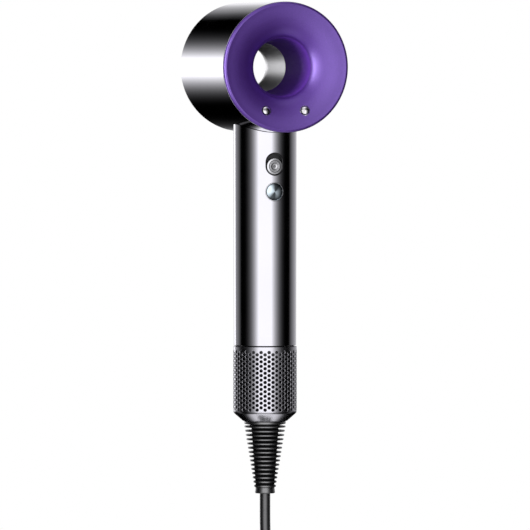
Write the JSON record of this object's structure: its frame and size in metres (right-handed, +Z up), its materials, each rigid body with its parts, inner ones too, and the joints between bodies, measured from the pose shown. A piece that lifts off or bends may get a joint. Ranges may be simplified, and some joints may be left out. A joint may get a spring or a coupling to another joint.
{
  "type": "hand-held hair dryer",
  "caption": "Ring-head hand-held hair dryer: open barrel on a slim round handle with the motor inside, pull-off filter cage, ribbed strain relief and a mains cord folded into a tied hank.",
  "frame": {"origin": "on the handle's axis at the middle of the grip, where the hand holds it", "axes": "+Z up along the handle towards the head, +Y the way the air leaves the front of the head, -Y towards the controls, +X completes the right-handed set"},
  "size_m": [0.078, 0.0874, 0.5463],
  "materials": {
    "polished_nickel": "polished, gunmetal nickel coat",
    "purple_satin": "satin purple with a metallic fleck",
    "satin_silver": "satin silver",
    "chrome": "polished",
    "black_plastic": "black, moulded",
    "soft_black": "matt black",
    "circuit_green": "green solder mask",
    "copper": "enamelled copper wire",
    "mica": "mica sheet",
    "steel": "bright",
    "magnet": "dull grey",
    "white_resin": "off-white"
  },
  "bodies": {
    "dryer": {"head_barrel": "polished_nickel", "handle_shell": "polished_nickel", "rear_cowl": "purple_satin", "inner_duct": "satin_silver", "outlet_ring": "satin_silver", "speed_switch": "black_plastic", "heat_switch": "black_plastic", "power_bezel": "black_plastic", "power_switch": "black_plastic", "cool_shot_switch": "black_plastic", "neck_duct": "black_plastic", "intake_frame": "black_plastic", "inlet_base": "black_plastic", "cord_clamp": "black_plastic", "plug_body": "black_plastic", "neck_gasket": "soft_black", "motor_mount_lower": "soft_black", "motor_mount_upper": "soft_black", "inlet_seal": "soft_black", "strain_relief": "soft_black", "cord_lead": "soft_black", "cord_hank": "soft_black", "cord_tail": "soft_black", "cord_strap": "soft_black", "control_board": "circuit_green", "handle_board": "circuit_green", "motor_board": "circuit_green", "stator_coil_1": "copper", "stator_coil_2": "copper", "stator_coil_3": "copper", "stator_coil_4": "copper", "heater_core": "mica", "heater_sleeve": "mica", "heater_coil": "steel", "motor_shell": "steel", "bearing_lower": "steel", "bearing_upper": "steel", "bearing_bridge": "steel", "filter_mesh": "steel", "clamp_screw_1": "steel", "clamp_screw_2": "steel", "plug_pin_1": "steel", "plug_pin_2": "steel", "attachment_magnet_1": "magnet", "attachment_magnet_2": "magnet", "attachment_magnet_3": "magnet", "stator_core": "magnet", "air_bulkhead": "white_resin", "diffuser": "white_resin", "thermistor": "white_resin"},
    "power_slider": {"power_slider": "chrome"},
    "cool_shot_button": {"cool_shot_button": "chrome"},
    "speed_button": {"speed_button": "chrome"},
    "heat_button": {"heat_button": "chrome"},
    "cage_lock": {"cage_lock_ring": "black_plastic"},
    "cage": {"filter_cage": "polished_nickel"},
    "rotor": {"rotor_shaft": "steel", "rotor_magnet": "magnet", "impeller": "black_plastic"}
  },
  "joints": [
    {"name": "power_slide", "type": "slide", "parent": "dryer", "child": "power_slider", "axis": [0, 0, 1], "range_m": [0, 0.0025]},
    {"name": "cool_shot_press", "type": "slide", "parent": "dryer", "child": "cool_shot_button", "axis": [0, 1, 0], "range_m": [0, 0.0012], "stiffness_N_per_m": 600},
    {"name": "speed_press", "type": "slide", "parent": "dryer", "child": "speed_button", "axis": [-0.1316, 0.9506, -0.281], "range_m": [0, 0.0008], "stiffness_N_per_m": 600},
    {"name": "heat_press", "type": "slide", "parent": "dryer", "child": "heat_button", "axis": [0.1316, 0.9506, -0.281], "range_m": [0, 0.0008], "stiffness_N_per_m": 600},
    {"name": "cage_twist", "type": "hinge", "parent": "dryer", "child": "cage_lock", "pos_m": [0, 0, -0.0684], "axis": [0, 0, 1], "range_deg": [0, 25]},
    {"name": "cage_slide", "type": "slide", "parent": "cage_lock", "child": "cage", "axis": [0, 0, -1], "range_m": [0, 0.05]},
    {"name": "rotor_spin", "type": "hinge", "parent": "dryer", "child": "rotor", "pos_m": [0, 0, -0.036], "axis": [0, 0, 1], "continuous": true}
  ]
}
